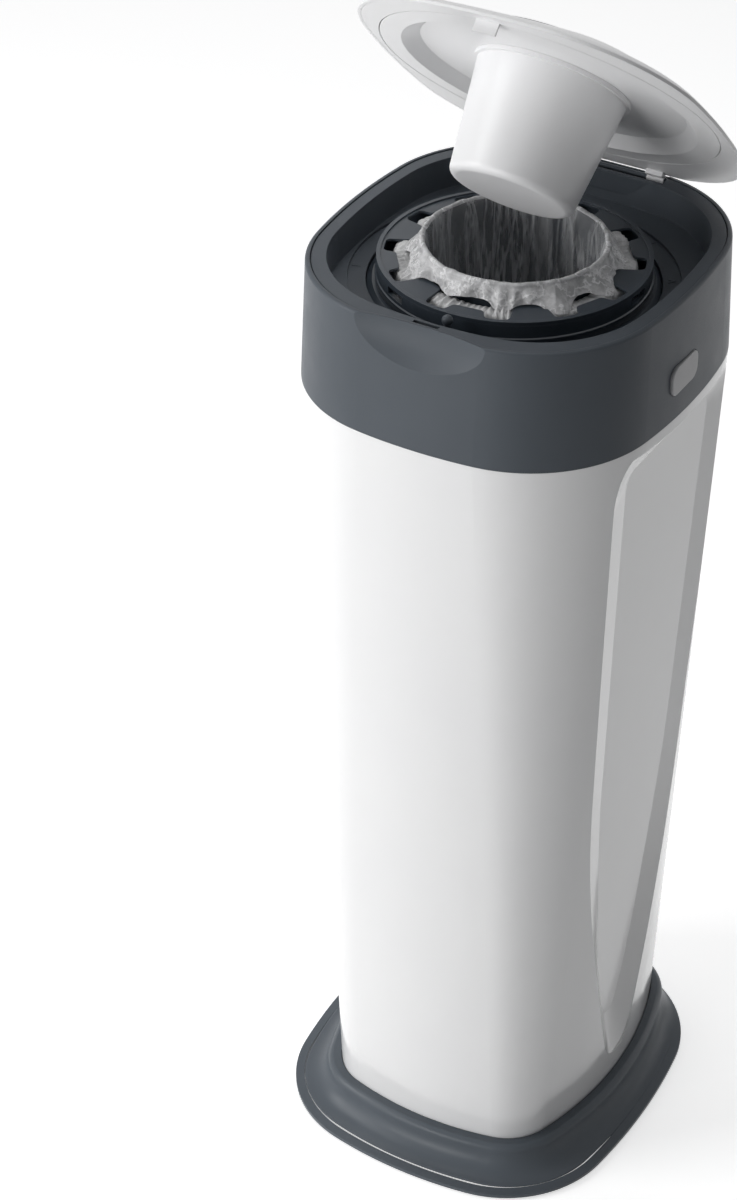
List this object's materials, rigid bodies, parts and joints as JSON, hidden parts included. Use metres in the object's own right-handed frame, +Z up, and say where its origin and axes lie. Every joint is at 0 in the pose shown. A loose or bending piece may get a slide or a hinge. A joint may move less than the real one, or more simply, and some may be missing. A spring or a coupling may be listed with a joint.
{
  "type": "nappy bin",
  "caption": "Free-standing nappy disposal bin with a hinged lid, twist-to-seal film cassette, tip-back top housing with side release buttons and a tapered tub.",
  "frame": {"origin": "on the floor under the middle of the base", "axes": "+Z up, -Y the front with the finger scoop, +X the right-hand side as seen from the front"},
  "size_m": [0.2334, 0.257, 0.7847],
  "materials": {
    "tub_white": "glossy white polypropylene",
    "lid_white": "satin white plastic",
    "grip_white": "natural white moulding",
    "housing_grey": "fine grained dark slate grey",
    "base_grey": "fine grained dark slate grey",
    "button_grey": "light grey satin",
    "cassette_slate": "dark blue-grey moulding",
    "film": "thin translucent white film",
    "rubber": "matte black rubber",
    "steel": "plain steel"
  },
  "bodies": {
    "bin_base": {"base_plinth": "base_grey", "rubber_feet": "rubber", "tub_shell": "tub_white", "latch_strikes": "tub_white", "housing_hinge_pin": "steel", "wrapped_bundle_2": "film", "wrapped_bundle_3": "film"},
    "housing": {"collar_shell": "housing_grey", "collar_liner": "housing_grey", "lid_hinge_pin": "housing_grey", "gripper_plate": "housing_grey", "gripper_screws": "steel", "wrapped_bundle_1": "film", "film_cutter_guard": "button_grey", "film_cutter_blade": "steel", "latch_spring_left": "steel", "latch_spring_right": "steel", "detent_peg": "housing_grey"},
    "cassette": {"cassette_carrier": "cassette_slate", "cassette_body": "cassette_slate", "cassette_tube": "cassette_slate", "cassette_cap": "cassette_slate", "film_pack": "film", "film_mouth": "film"},
    "lid": {"lid_shell": "lid_white", "lid_rim": "lid_white", "dial_bush": "grip_white"},
    "dial": {"twist_dial": "button_grey", "drive_hub": "grip_white", "dial_screw": "steel", "plunger_disc": "lid_white", "plunger_cup": "lid_white"},
    "button_right": {"release_button_right": "button_grey", "release_latch_right": "grip_white"},
    "button_left": {"release_button_left": "button_grey", "release_latch_left": "grip_white"}
  },
  "joints": [
    {"name": "housing_tilt", "type": "hinge", "parent": "bin_base", "child": "housing", "pos_m": [0, 0.1245, 0.558], "axis": [-1, 0, 0], "range_deg": [0, 80]},
    {"name": "lid_hinge", "type": "hinge", "parent": "housing", "child": "lid", "pos_m": [0, 0.1184, 0.6235], "axis": [-1, 0, 0], "range_deg": [-43.6, 46.4]},
    {"name": "dial_twist", "type": "hinge", "parent": "lid", "child": "dial", "pos_m": [0, 0.04346, 0.71765], "axis": [0, 0.6896, 0.7242], "continuous": true},
    {"name": "cassette_turn", "type": "hinge", "parent": "housing", "child": "cassette", "pos_m": [0, -0.0008, 0.6], "axis": [0, 0, 1], "continuous": true},
    {"name": "release_right", "type": "slide", "parent": "housing", "child": "button_right", "axis": [-1, 0, 0], "range_m": [0, 0.003], "stiffness_N_per_m": 800, "springref_m": -0.001, "deforming": ["latch_spring_right"]},
    {"name": "release_left", "type": "slide", "parent": "housing", "child": "button_left", "axis": [1, 0, 0], "range_m": [0, 0.003], "stiffness_N_per_m": 800, "springref_m": -0.001, "deforming": ["latch_spring_left"]}
  ]
}
